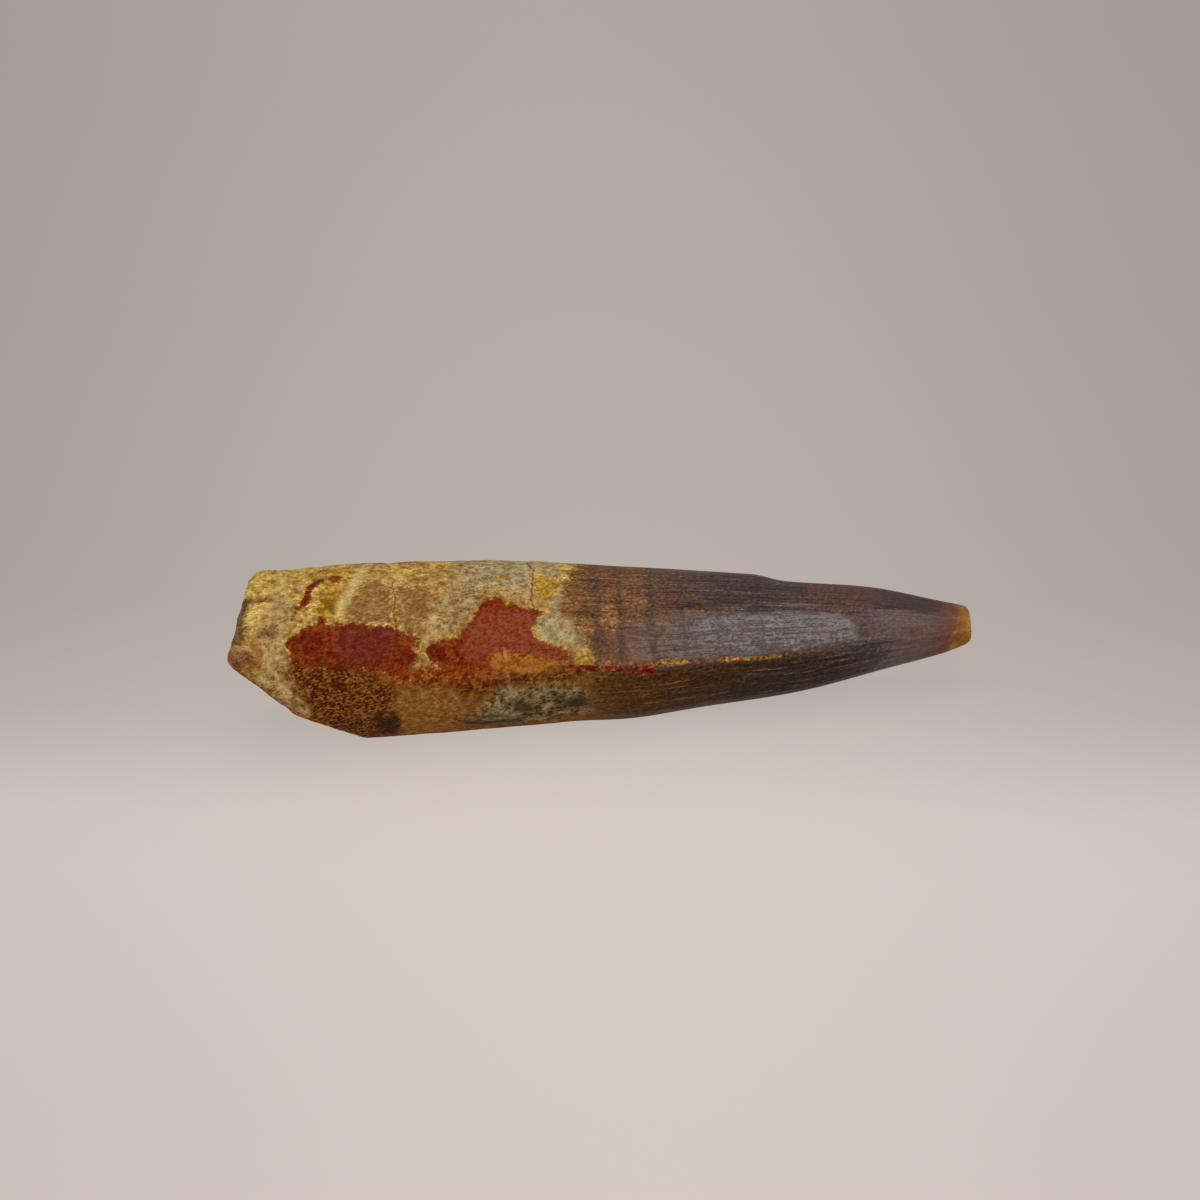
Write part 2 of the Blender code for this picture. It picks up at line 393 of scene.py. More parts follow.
def tooth_mesh():
    """The closed mesh of the tooth, cut flat where it rests."""
    rings = loft_rings()
    root_axis = (0.0, section(0.0)[1])
    tip_axis = (section(LENGTH)[2], section(LENGTH)[1])

    def tip_along(y, z, share):
        size, height = TIP_WAVE
        wave = height * (noise.noise(Vector((y, z, 0.0)) / size) - 0.6)
        return LENGTH + TIP_BULGE * (1.0 - share**2) + wave * (1.0 - share**4)

    root_cap = cap_rings(rings[0], root_axis, BREAK_RINGS, lambda y, z, _share: break_along(y, z))
    tip_cap = cap_rings(rings[-1], tip_axis, TIP_RINGS, tip_along)

    mesh = bmesh.new()
    loops = [[mesh.verts.new(point) for point in ring] for ring in root_cap[::-1] + rings + tip_cap]
    for first, second in zip(loops, loops[1:]):
        bridge(mesh, first, second)
    root_middle = Vector((break_along(*root_axis), *root_axis))
    tip_middle = Vector((LENGTH + TIP_BULGE, *tip_axis))
    close_with_fan(mesh, loops[0], root_middle, True)
    close_with_fan(mesh, loops[-1], tip_middle, False)
    bmesh.ops.recalc_face_normals(mesh, faces=mesh.faces)

    everything = mesh.verts[:] + mesh.edges[:] + mesh.faces[:]
    cut = bmesh.ops.bisect_plane(
        mesh,
        geom=everything,
        dist=CUT_TOLERANCE,
        plane_co=(0, 0, 0),
        plane_no=(0, 0, 1),
        clear_inner=True,
    )
    for item in cut["geom_cut"]:
        if isinstance(item, bmesh.types.BMVert):
            item.co.z = 0.0
    flat_edges = [item for item in cut["geom_cut"] if isinstance(item, bmesh.types.BMEdge)]
    bmesh.ops.holes_fill(mesh, edges=flat_edges, sides=0)
    bmesh.ops.triangulate(mesh, faces=[face for face in mesh.faces if len(face.verts) > 4])
    bmesh.ops.recalc_face_normals(mesh, faces=mesh.faces)
    bmesh.ops.translate(mesh, verts=mesh.verts, vec=(-LENGTH / 2, 0, 0))
    return mesh


# Places of the markings, each as (along in millimetres, around in degrees)

# Edges that run once around the tooth, as (around, along)
ENAMEL_EDGE = (
    (-90.0, 48.0), (-45.0, 48.5), (-10.0, 47.6), (6.0, 46.4), (18.0, 44.9), (28.0, 42.2),
    (42.0, 41.0), (60.0, 40.9), (80.0, 41.3), (100.0, 40.6), (140.0, 43.0), (180.0, 45.5),
    (225.0, 46.5), (270.0, 48.0),
)
BROWN_EDGE = (
    (-90.0, 49.0), (-45.0, 48.3), (-10.0, 47.6), (8.0, 48.3), (22.0, 47.2), (34.0, 45.8),
    (46.0, 44.6), (58.0, 44.4), (70.0, 45.2), (80.0, 45.7), (100.0, 46.8), (140.0, 48.0),
    (180.0, 49.0), (225.0, 47.5), (270.0, 49.0),
)
WEATHERED_EDGE = (
    (-90.0, 12.0), (-35.0, 9.7), (-10.0, 9.3), (28.0, 8.4), (50.0, 9.9), (70.0, 12.0),
    (105.0, 15.2), (150.0, 12.0), (200.0, 10.0), (270.0, 12.0),
)

# Outlines of the patches of colour
PATCHES = {
    "red": (
        ((8, 29), (10, 36), (11.8, 39), (12.9, 44), (14, 38), (18, 38), (22.5, 34), (25.1, 25),
         (25.4, 14), (24.1, 4), (20.2, 4), (15.4, 8), (9.8, 13), (8.6, 21)),
        ((34.9, 53), (36.6, 51), (39.2, 46), (42.5, 42), (41.2, 37), (40.7, 28), (41.8, 21), (45.1, 14),
         (45.7, 6), (41.3, 3), (36, 3), (30.5, 2), (26.8, 12), (26.5, 17), (27.1, 22), (31.2, 27),
         (33.2, 41)),
        ((13.5, 77), (14.3, 80), (15.3, 78), (15.2, 72), (14, 71)),
        ((13.2, 77), (13, 74), (11.6, 67), (11.6, 58), (10.6, 51), (8.8, 44), (9.6, 53), (10.5, 61),
         (10.7, 68), (11.9, 75)),
        ((20, 150), (27, 158), (33, 150), (36, 168), (31, 190), (24, 196), (18, 182), (17, 164)),
        ((38, 205), (43, 212), (44, 228), (40, 238), (36, 226)),
    ),
    "maroon": (
        ((15.5, 35), (21.5, 35), (23.3, 22), (21.3, 12), (16, 11), (15, 20)),
        ((22, 165), (31, 160), (30, 182), (23, 184)),
    ),
    "brick": (
        ((31, 20), (33.5, 40), (37.5, 45), (41.5, 40), (41.4, 27), (45, 13), (45.4, 6), (38, 9),
         (32, 10)),
    ),
    "orange": (
        ((19.5, 9), (25.4, 8), (31, 10), (36, 7), (38, 5), (38, -3), (30.6, -6), (25, -5), (20, 0)),
        ((22.9, 27), (25.6, 25), (25.6, 16), (23.4, 18)),
        ((34.6, 53), (37.2, 50), (38.6, 45), (37, 43), (34.6, 46)),
    ),
    "gold": (
        ((41.2, 71), (43.6, 73), (44.6, 66), (44, 55), (42.4, 51), (41.3, 57)),
        ((46.3, 10), (47.6, 11), (48.6, 6), (48.1, 3), (46.8, 2), (46, 5)),
        ((36, 76), (37.3, 77), (37.6, 71), (36.2, 69)),
        ((26.4, 18), (28.4, 20), (28.2, 14), (26.6, 12)),
        ((9, 15), (11, 14), (11.2, 8), (9.6, 8)),
    ),
    "glow": (
        ((34.8, 12), (37, 15), (39.6, 12), (43.4, 7), (44.2, 1), (38, -1), (35.2, 0)),
    ),
    "ochre": (
        ((-2, 112), (16, 112), (15.8, 84), (17.5, 62), (15.6, 46), (12.5, 42), (9.5, 46), (7.4, 58),
         (6, 53), (5.1, 42), (3.4, 41), (2.6, 50), (-2, 58)),
        ((21.6, 97), (25, 92), (25.2, 80), (22.4, 74)),
        ((27.4, 98), (30.4, 98), (30.2, 85), (28, 82)),
        ((43, 96), (45.5, 100), (47.5, 90), (47, 72), (45.2, 60), (43.6, 72)),
        ((4, 150), (14, 140), (16, 190), (9, 215), (3, 190)),
    ),
    "olive": (
        ((12.4, 92), (16.4, 96), (16.2, 80), (17.4, 62), (15.4, 44), (12.8, 42), (12, 52), (13.4, 70)),
    ),
    "umber": (
        ((23.1, 64), (26.5, 64), (28.6, 50), (27.6, 34), (25.6, 29), (23.2, 36)),
        ((17.6, 66), (20.8, 72), (22.2, 62), (22.2, 38), (17, 38), (16.4, 50)),
    ),
    "tan": (
        ((21.8, -8), (30, -10), (31.5, -28), (29.5, -60), (21.8, -62), (21.4, -30)),
    ),
    "cream": (
        ((6, 53), (7, 62), (9, 60), (9.6, 50), (7.8, 38), (7.7, 24), (8.8, 8), (10.2, -8), (12.2, -18),
         (12, -26), (9, -22), (5.6, -6), (4.6, 4), (5.4, 14), (5.1, 26), (5.1, 40)),
        ((7.8, 72), (9.6, 73), (10.4, 67), (9, 64), (7.6, 67)),
        ((27.4, 44), (28.6, 46), (29, 30), (27.4, 18), (26, 20), (26.8, 32)),
        ((33.6, 60), (36.5, 66), (39.5, 60), (38.5, 52), (36.4, 54), (34.2, 55)),
        ((8, 225), (20, 218), (24, 240), (12, 248)),
    ),
    "grey": (
        ((30.5, 100), (40.6, 104), (41, 58), (36.5, 55), (33.2, 45), (31, 32), (27.5, 26), (26.5, 32),
         (28.2, 46), (30.5, 62)),
        ((41.5, 54), (45, 54), (46.8, 46), (46.6, 33), (44.5, 30), (43.3, 40)),
        ((42, 88), (45, 90), (45, 76), (42.2, 76)),
        ((26, 208), (35, 200), (37, 226), (28, 236)),
        ((7, 62), (8.6, 62), (9.2, 57), (8.4, 53), (7.2, 55)),
    ),
    "lichen": (
        ((32.5, 102), (40.6, 104), (41, 62), (38, 57), (33.5, 62)),
        ((42.6, 44), (44.6, 42), (46.6, 32), (47.6, 20), (46.6, 14), (44.6, 22), (42.8, 32)),
        ((41.6, 100), (44.4, 99), (44.2, 79), (41.8, 80)),
        ((42.6, 57), (45, 58), (45.6, 44), (43.4, 42)),
        ((41.2, 41), (43.4, 38), (43.9, 31), (44.4, 24), (43.6, 18), (42.3, 22), (40.9, 27), (40.7, 34)),
    ),
    "slate": (
        ((35.5, -7), (41, -8), (46.8, -12), (48.2, -22), (47.8, -40), (45, -50), (34, -52), (30.5, -44),
         (33.5, -28)),
    ),
    "dark": (
        ((8.6, 21), (11, 17), (15, 13), (20, 7), (22.6, -1), (21.8, -28), (21.8, -66), (11.5, -66),
         (10.4, -25), (8.8, -6), (8, 8)),
        ((28.5, -3), (35, 1), (44, 1), (48, 0), (46.5, -8), (36, -10), (31, -16)),
    ),
    # The scoop's darker brown is partly the bone's own brown and partly painted shade of its hollow face
    "scoop": (
        ((-2, 58), (1.6, 57), (2.5, 50), (2.9, 40), (2.7, 31), (1.6, 29), (-2, 29)),
        ((5, 34), (6.2, 37), (7, 35), (6.2, 32)),
    ),
    "knob": (
        ((-2, 27), (1.8, 27), (3.2, 25), (3.8, 21), (3.1, 17), (1.6, 14), (-2, 14)),
    ),
    "black_spots": (
        ((19.2, -30), (21.8, -28), (22, -52), (19.6, -50)),
        ((43.4, -27), (46.6, -25), (47.4, -34), (44, -36)),
        ((37.6, -24), (39.8, -27), (39.8, -36), (37.7, -34)),
        ((29.5, -40), (33, -44), (38.5, -46), (38, -50), (32, -50)),
    ),
    "crown_ochre": (
        ((49.2, 50), (52, 50), (52, 29), (49.4, 29)),
        ((52.8, 60), (56, 58), (56.2, 46), (52.9, 48)),
        ((46.8, 36), (49, 35), (49, 27), (47, 27)),
        ((47.6, 9), (53.6, 8), (53.4, 2), (47.6, 2)),
    ),
    "crown_red": (
        ((79, 92), (86.5, 96), (88.5, 70), (84.5, 52), (80, 50), (78.5, 66)),
        ((53, 58), (62, 62), (63, 52), (57, 46), (52.6, 50)),
        ((88.8, 14), (90.5, 16), (92.5, 8), (91.8, 0), (89.5, 3)),
    ),
    # Where a grey reflection is painted on the crown: painted sheen, with real gloss from the coat over
    # it
    "painted_sheen": (
        ((51, 34), (60, 39), (76, 41), (81.6, 41), (83.2, 30), (84, 8), (75, 5), (60, 4), (50, 8)),
    ),
    # The darkest patch of the underside, partly its own colour and partly painted shade
    "black": (
        ((66, -16), (76, -8), (86, -6), (88, -14), (85, -44), (78, -66), (66, -60)),
    ),
}

# Lines of the streaks
STREAKS = {
    "pale_streak": (
        ((18.8, 92), (17.4, 72), (15.3, 46)),
    ),
    "seam": (
        ((36.9, 17), (36.8, 2), (37.2, -14)),
    ),
    "fissure": (
        ((-1, 65), (2.4, 65), (4.6, 62), (6.2, 60)),
    ),
    "knob_rim": (
        ((1.2, 12), (3, 13), (4.4, 18), (4.6, 23), (3.8, 28)),
    ),
    # A pale painted highlight where the sheen ends
    "painted_highlight_arc": (
        ((80, 39), (81.8, 38), (83, 33), (83.7, 24), (83.2, 18)),
    ),
}

# Where the growth bands of the crown lie along the tooth, in millimetres
GROWTH_BANDS = (49.2, 52.3, 56.6, 60.7, 65.5, 71.0, 77.5)

# Hairline cracks
CRACKS = (
    ((22.4, 66), (22.8, 54), (22.5, 46), (22.8, 34), (22.6, 22)),
    ((40.4, 96), (41.2, 80), (41.0, 64), (40.8, 52), (41.0, 44)),
    ((13.2, 97), (12.1, 84)),
    ((46.3, 32), (49.0, 31), (54.5, 30)),
    ((24.0, 150), (26.0, 172), (25.0, 200), (29.0, 222)),
)


def edge_curve(points, around):
    """Along, in millimetres, of an edge that runs around the tooth."""
    return curve_through(points, 1, turn_between(around, 90.0) + 90.0)


# Fields of the markings over the fine mesh

ARC_PER_DEGREE = 1.07 * math.pi / 180.0
FIELD_LIMIT = 4.0
EDGE_SAMPLES = 181
CRACK_REACH = 1.2


def limited(distance):
    """A distance in millimetres, kept within what the markings need."""
    return np.clip(distance, -FIELD_LIMIT, FIELD_LIMIT)


class Surface:
    """Places along and around of the vertices of a mesh, and distances on it in millimetres."""

    def __init__(self, mesh):
        count = len(mesh.vertices)
        points = np.empty(count * 3)
        mesh.vertices.foreach_get("co", points)
        x, y, z = points.reshape(-1, 3).T
        self.along = (x + LENGTH / 2) / MM
        sections = np.array([section(place * MM) for place in self.along]) / MM
        self.half_height, axis_height, bend = sections.T
        across = (bend - y / MM) / WIDTH_OVER_HEIGHT
        up = z / MM - axis_height
        self.around = np.degrees(np.arctan2(up, across))
        self.under_skin = self.half_height - np.hypot(across, up)
        stations = np.array(STATIONS_MM)
        self.stations, self.heights = stations[:, 0], stations[:, 1]

    def arc(self, along):
        """Millimetres to a degree around, at a place along."""
        return ARC_PER_DEGREE * np.interp(along, self.stations, self.heights)

    def flat(self, path):
        """The corners of a path in millimetres, and the vertices in the same flat map."""
        corners = np.array(path, float)
        middle = corners[:, 1].mean()
        corners[:, 1] = (corners[:, 1] - middle) * self.arc(corners[:, 0])
        return corners, self.along, turn_between(self.around, middle) * self.arc(self.along)

    def line_offset(self, path):
        """Distance from an open path, negative on its right side."""
        corners, px, py = self.flat(path)
        nearest = np.full(px.shape, np.inf)
        side = np.ones(px.shape)
        for (x1, y1), (x2, y2) in zip(corners, corners[1:]):
            dx, dy = x2 - x1, y2 - y1
            t = np.clip(((px - x1) * dx + (py - y1) * dy) / (dx * dx + dy * dy), 0.0, 1.0)
            distance = np.hypot(px - x1 - t * dx, py - y1 - t * dy)
            closer = distance < nearest
            nearest = np.where(closer, distance, nearest)
            side = np.where(closer, np.sign(dx * (py - y1) - dy * (px - x1)), side)
        return nearest * side

    def inside_by(self, outline):
        """How far inside a closed outline each vertex lies, negative outside it."""
        corners, px, py = self.flat(outline)
        inside = np.zeros(px.shape, bool)
        for (x1, y1), (x2, y2) in zip(corners, np.roll(corners, -1, axis=0)):
            if y1 != y2:
                crossing = x1 + (py - y1) * (x2 - x1) / (y2 - y1)
                inside ^= ((y1 > py) != (y2 > py)) & (px < crossing)
        distance = np.abs(self.line_offset(list(outline) + [outline[0]]))
        return np.where(inside, distance, -distance)

    def patches(self, outlines):
        """How far inside the nearest of several outlines each vertex lies."""
        return limited(np.max([self.inside_by(outline) for outline in outlines], axis=0))

    def streaks(self, paths):
        """Minus the distance from the nearest of several lines."""
        return limited(-np.min([np.abs(self.line_offset(path)) for path in paths], axis=0))

    def past_edge(self, edge):
        """How far past an edge around the tooth each vertex lies, towards the tip."""
        turned = turn_between(self.around, 90.0) + 90.0
        angles = np.linspace(-90.0, 270.0, EDGE_SAMPLES)
        places = [edge_curve(edge, angle) for angle in angles]
        return limited(self.along - np.interp(turned, angles, places))

    def past_rim(self):
        """How far each vertex lies from the broken rim, towards the tip."""
        angles = np.linspace(-180.0, 180.0, EDGE_SAMPLES)
        rims = [rim_along(angle) / MM for angle in angles]
        return limited(self.along - np.interp(self.around, angles, rims))

    def cracks(self, paths):
        """Offset from the nearest of several lines, negative on its right side."""
        offsets = np.array([self.line_offset(path) for path in paths])
        nearest = np.abs(offsets).argmin(axis=0)
        return np.take_along_axis(offsets, nearest[None], axis=0)[0]


def add_fields(mesh):
    """Stores where the markings are as values on the vertices, for the material to read."""
    surface = Surface(mesh)
    crack = surface.cracks(CRACKS)
    upward = np.sin(np.radians(surface.around))
    fields = {
        "along": surface.along,
        "lift": np.degrees(np.arcsin(np.clip(upward, -1.0, 1.0))),
        "under_skin": surface.under_skin,
        "past_brown_edge": surface.past_edge(BROWN_EDGE),
        "past_weathered_edge": surface.past_edge(WEATHERED_EDGE),
        "past_rim": surface.past_rim(),
        "crack_side": crack,
        "crack_near": np.clip(2.0 - 2.0 * np.abs(crack) / CRACK_REACH, 0.0, 1.0),
    }
    fields.update((name, surface.patches(outlines)) for name, outlines in PATCHES.items())
    fields.update((name, surface.streaks(paths)) for name, paths in STREAKS.items())
    for name, values in fields.items():
        layer = mesh.attributes.new(name, "FLOAT", "POINT")
        layer.data.foreach_set("value", values.astype(np.float32))
    turn = np.radians(surface.around)
    lanes = np.column_stack((surface.along, LANE_RADIUS * np.cos(turn), LANE_RADIUS * np.sin(turn)))
    layer = mesh.attributes.new("lane", "FLOAT_VECTOR", "POINT")
    layer.data.foreach_set("vector", lanes.astype(np.float32).ravel())


# Material

# The dark, middle and light tone of each grainy colour of the tooth, 0 to 255
TONES = {
    "bone": ((130, 92, 38), (168, 130, 64), (198, 162, 96)),
    "umber": ((120, 78, 36), (141, 100, 53), (170, 128, 80)),
    # Brown of the root's underside, partly its own colour and partly painted shade
    "brown": ((84, 42, 10), (122, 76, 32), (162, 114, 62)),
    "tan": ((116, 70, 22), (142, 94, 40), (164, 116, 60)),
    "ochre": ((142, 102, 34), (192, 156, 76), (220, 188, 108)),
    "olive": ((128, 86, 18), (166, 126, 46), (196, 156, 80)),
    "grey": ((98, 62, 28), (154, 122, 76), (212, 186, 136)),
    "lichen": ((104, 80, 44), (158, 138, 96), (214, 196, 150)),
    "cream": ((110, 62, 22), (174, 140, 82), (224, 196, 142)),
    "slate": ((54, 36, 14), (118, 96, 60), (178, 156, 114)),
    "gold": ((122, 82, 12), (168, 128, 34), (202, 166, 84)),
    "dark": ((50, 12, 0), (92, 42, 8), (176, 122, 54)),
    "orange": ((90, 20, 2), (136, 54, 10), (184, 106, 40)),
    "glow": ((122, 56, 8), (162, 98, 28), (196, 138, 62)),
    "stain": ((72, 12, 2), (108, 34, 8), (156, 78, 28)),
    "maroon": ((84, 24, 10), (106, 40, 24), (130, 62, 44)),
    "brick": ((106, 34, 14), (132, 60, 36), (156, 86, 58)),
    "fringe": ((96, 52, 18), (142, 92, 42), (176, 130, 78)),
    # Scoop tones: the bone's brown with painted shade of the scooped face
    "scoop": ((84, 58, 24), (112, 84, 44), (146, 116, 74)),
    "knob": ((116, 68, 40), (140, 92, 62), (166, 122, 92)),
    "fracture": ((96, 72, 46), (124, 98, 66), (152, 124, 88)),
    "crown_ochre": ((110, 68, 34), (142, 97, 53), (164, 122, 72)),
    # Tones of the painted sheen, a painted reflection on the crown
    "painted_sheen": ((46, 38, 38), (98, 88, 91), (160, 150, 154)),
    "painted_sheen_start": ((50, 34, 27), (92, 72, 61), (144, 122, 110)),
    "crown_red": ((66, 34, 22), (92, 54, 38), (122, 80, 60)),
    "strip_red": ((70, 16, 2), (106, 42, 16), (150, 84, 54)),
    "strip_gold": ((84, 44, 12), (132, 90, 38), (172, 128, 66)),
    "strip_brown": ((60, 34, 16), (92, 60, 32), (118, 82, 50)),
    "amber": ((116, 68, 22), (146, 94, 32), (168, 118, 54)),
}

# Plain colours of lines, bands and small marks, 0 to 255
SHADES = {
    "seam": (206, 172, 120),
    "black_spots": (36, 26, 14),
    "knob_rim": (150, 84, 30),
    # The fissure's browns are its own stain and also painted shade down in its groove
    "fissure_mouth": (96, 66, 34),
    "fissure": (134, 78, 30),
    "pale_streak": (206, 186, 122),
    "upper_enamel": (58, 42, 40),
    "growth_band": (54, 50, 42),
    # Darkest underside: its own colour and painted shade
    "black_enamel_and_shade": (42, 33, 28),
    "dark_line": (36, 25, 21),
    "light_line": (140, 112, 84),
    "strip_gap": (72, 48, 30),
    "edge_shadow": (34, 25, 22),
    "red_brown": (108, 64, 44),
    # A painted highlight where the sheen ends
    "painted_highlight_arc": (150, 136, 110),
    "crack": (104, 46, 14),
}

# Colours of the enamel and of its underside, by place along the tooth in millimetres. The underside's
# dark is partly its own colour and partly painted shade.
ENAMEL_TONES = (
    (44.0, (122, 84, 40)), (48.0, (102, 67, 38)), (54.0, (108, 72, 45)), (61.0, (84, 58, 44)),
    (70.0, (70, 52, 48)), (82.0, (78, 58, 54)), (89.0, (101, 83, 78)), (96.0, (96, 72, 64)),
)
UNDERSIDE_TONES = (
    (46.0, (100, 66, 22)), (52.0, (78, 48, 16)), (62.0, (68, 40, 18)), (74.0, (60, 40, 26)),
    (82.0, (64, 52, 46)), (86.0, (84, 74, 69)), (90.0, (98, 82, 76)), (95.0, (102, 78, 66)),
)

# Mixes of the tooth's noises, each by its name and weight
BROAD = {"mottle": 1.0, "fleck": 0.5, "tone": 0.4}
FINE = {"speck": 1.0, "fleck": 0.6, "mottle": 0.5}
FINE_BLOTCHED = {"speck": 1.0, "fleck": 0.6, "mottle": 0.7}
FINE_EVEN = {"speck": 1.0, "fleck": 0.6, "mottle": 0.2}
FLECKED = {"fleck": 1.0, "mottle": 0.6}

# Stains in the order they are laid over a colour, named as their patch and their tones:
# share, then softness, wobble and grit of the outline, then the noises that mix the tones,
# and how much noise brings out the darkest and the lightest tone
UPPER_STAINS = (("umber", 1.0, (0.6, 3.0, 2.0), FLECKED, 0.16),)
ROOT_STAINS = (
    ("tan", 1.0, (0.8, 3.0, 2.0), {"fleck": 1.0, "mottle": 0.7}, 0.16),
    ("ochre", 1.0, (0.6, 3.0, 2.0), BROAD, 0.16),
    ("olive", 1.0, (0.7, 3.0, 2.0), BROAD, 0.16),
    ("grey", 1.0, (1.0, 6.0, 3.0), FINE, 0.18),
    ("lichen", 1.0, (0.8, 5.0, 3.0), FINE, 0.18),
    ("cream", 1.0, (0.9, 5.0, 3.0), FINE_BLOTCHED, 0.2),
    # The scoop stain is partly painted shade in the hollow
    ("scoop", 1.0, (0.5, 2.0, 2.0), BROAD, 0.16),
    ("slate", 1.0, (1.0, 5.0, 4.0), {**FINE, "wobble": 0.8}, 0.18),
    ("gold", 0.9, (0.2, 1.4, 1.0), {"fleck": 1.0}, 0.16),
    ("dark", 1.0, (0.9, 5.0, 5.0), {"speck": 1.0, "fleck": 0.3, "mottle": 0.3}, 0.15),
    ("orange", 0.9, (1.0, 5.0, 5.0), FLECKED, 0.16),
)
RED_STAINS = (
    ("maroon", 1.0, (1.0, 4.0, 2.0), {"speck": 1.0, "mottle": 0.5}, 0.13),
    ("brick", 1.0, (0.9, 4.0, 1.0), FINE_EVEN, 0.11),
    ("orange", 0.5, (1.0, 5.0, 5.0), {"fleck": 1.0}, 0.16),
)
GLOW_STAINS = (("glow", 0.85, (0.5, 2.5, 2.5), FINE, 0.16),)
KNOB_STAINS = (("knob", 1.0, (0.35, 0.8, 0.5), {"cloud": 1.0}, 0.16),)
ENAMEL_STAINS = (
    ("crown_ochre", 0.8, (0.5, 3.0, 1.5), {"mottle": 1.0}, 0.16),
    ("crown_red", 0.6, (1.4, 6.0, 2.0), {"streak": 1.0}, 0.16),
)

# Spans of the strip along the cutting edges, in millimetres along the tooth:
# where each one fades in, and where it fades out
SPANS = {
    "strip": ((41.0, 46.0), (74.0, 84.0)),
    "gap": ((52.7, 53.0), (53.5, 53.8)),
    "block": ((53.3, 53.8), (56.3, 56.8)),
    "past_block": ((56.3, 57.0), (60.0, 64.0)),
    "shadow": ((80.0, 83.0), (88.0, 92.0)),
}
BUMP_HEIGHT = 0.3 * MM


def colour(red, green, blue):
    """A colour as a picture shows it, 0 to 255, made linear."""
    shares = (value / 255 for value in (red, green, blue))
    return tuple(((s + 0.055) / 1.055) ** 2.4 if s > 0.04 else s / 12.92 for s in shares)


def shade(name):
    """One of the plain colours, made linear."""
    return colour(*SHADES[name])


class Brush:
    """Adds nodes to a material and gives back their outputs."""

    def __init__(self, material):
        material.use_nodes = True
        self.tree = material.node_tree
        self.shader = self.tree.nodes["Principled BSDF"]
        coordinates = self.tree.nodes.new("ShaderNodeTexCoord").outputs["Object"]
        to_mm = (1.0 / MM,) * 3
        self.place = self.node("ShaderNodeVectorMath", (coordinates, to_mm), operation="MULTIPLY")

    def node(self, kind, inputs, output=0, **settings):
        made = self.tree.nodes.new(kind)
        for name, value in settings.items():
            setattr(made, name, value)
        pairs = inputs.items() if isinstance(inputs, dict) else enumerate(inputs)
        for key, value in pairs:
            self.feed(made.inputs[key], value)
        return made.outputs[output]

    def feed(self, socket, value):
        if isinstance(value, bpy.types.NodeSocket):
            self.tree.links.new(value, socket)
        elif socket.type == "RGBA" and len(value) == 3:
            socket.default_value = (*value, 1.0)
        else:
            socket.default_value = value

    def math(self, operation, *values):
        return self.node("ShaderNodeMath", values, operation=operation)

    def field(self, name):
        return self.node("ShaderNodeAttribute", (), output="Fac", attribute_name=name)

    def grain(self, size, detail, roughness=0.5, stretch=1.0, tilt=0.0, shift=0.0, place=None):
        """Noise about 0, with lumps of a size in millimetres.

        They are longer by stretch along the tooth, or along a line that rises by tilt degrees.
        """
        inputs = {
            "Vector": place or self.place,
            "Location": (shift,) * 3,
            "Rotation": (0.0, -math.radians(tilt), 0.0),
            "Scale": (size * stretch, size, size),
        }
        place = self.node("ShaderNodeMapping", inputs, vector_type="TEXTURE")
        inputs = {"Vector": place, "Scale": 1.0, "Detail": detail, "Roughness": roughness}
        return self.math("SUBTRACT", self.node("ShaderNodeTexNoise", inputs), 0.5)

    def ease(self, value, low, high):
        """Rises smoothly from 0 at low to 1 at high."""
        inputs = {"Value": value, "From Min": low, "From Max": high, "To Min": 0.0, "To Max": 1.0}
        return self.node("ShaderNodeMapRange", inputs, interpolation_type="SMOOTHSTEP")

    def fall(self, value, low, high):
        """Falls smoothly from 1 at low to 0 at high."""
        return self.math("SUBTRACT", 1.0, self.ease(value, low, high))

    def add(self, value, *terms):
        """A value plus each of several (amount, other value) pairs."""
        for amount, other in terms:
            value = self.math("MULTIPLY_ADD", other, amount, value)
        return value

    def times(self, *values):
        product = values[0]
        for value in values[1:]:
            product = self.math("MULTIPLY", product, value)
        return product

    def mix(self, share, first, second):
        inputs = {0: share, 6: first, 7: second}
        return self.node("ShaderNodeMix", inputs, output=2, data_type="RGBA", clamp_factor=True)

    def blend(self, share, first, second):
        """Between two plain values."""
        inputs = {0: share, 2: first, 3: second}
        return self.node("ShaderNodeMix", inputs, data_type="FLOAT", clamp_factor=True)

    def brighten(self, tone, factor):
        return self.node("ShaderNodeVectorMath", {0: tone, "Scale": factor}, operation="SCALE")

    def ramp(self, value, stops):
        """A row of colours along a value, given as 0 to 255."""
        made = self.tree.nodes.new("ShaderNodeValToRGB")
        elements = made.color_ramp.elements
        low, high = stops[0][0], stops[-1][0]
        while len(elements) < len(stops):
            elements.new(0.5)
        for element, (place, tone) in zip(elements, stops):
            element.position = (place - low) / (high - low)
            element.color = (*colour(*tone), 1.0)
        inputs = {"Value": value, "From Min": low, "From Max": high}
        self.feed(made.inputs["Fac"], self.node("ShaderNodeMapRange", inputs))
        return made.outputs["Color"]


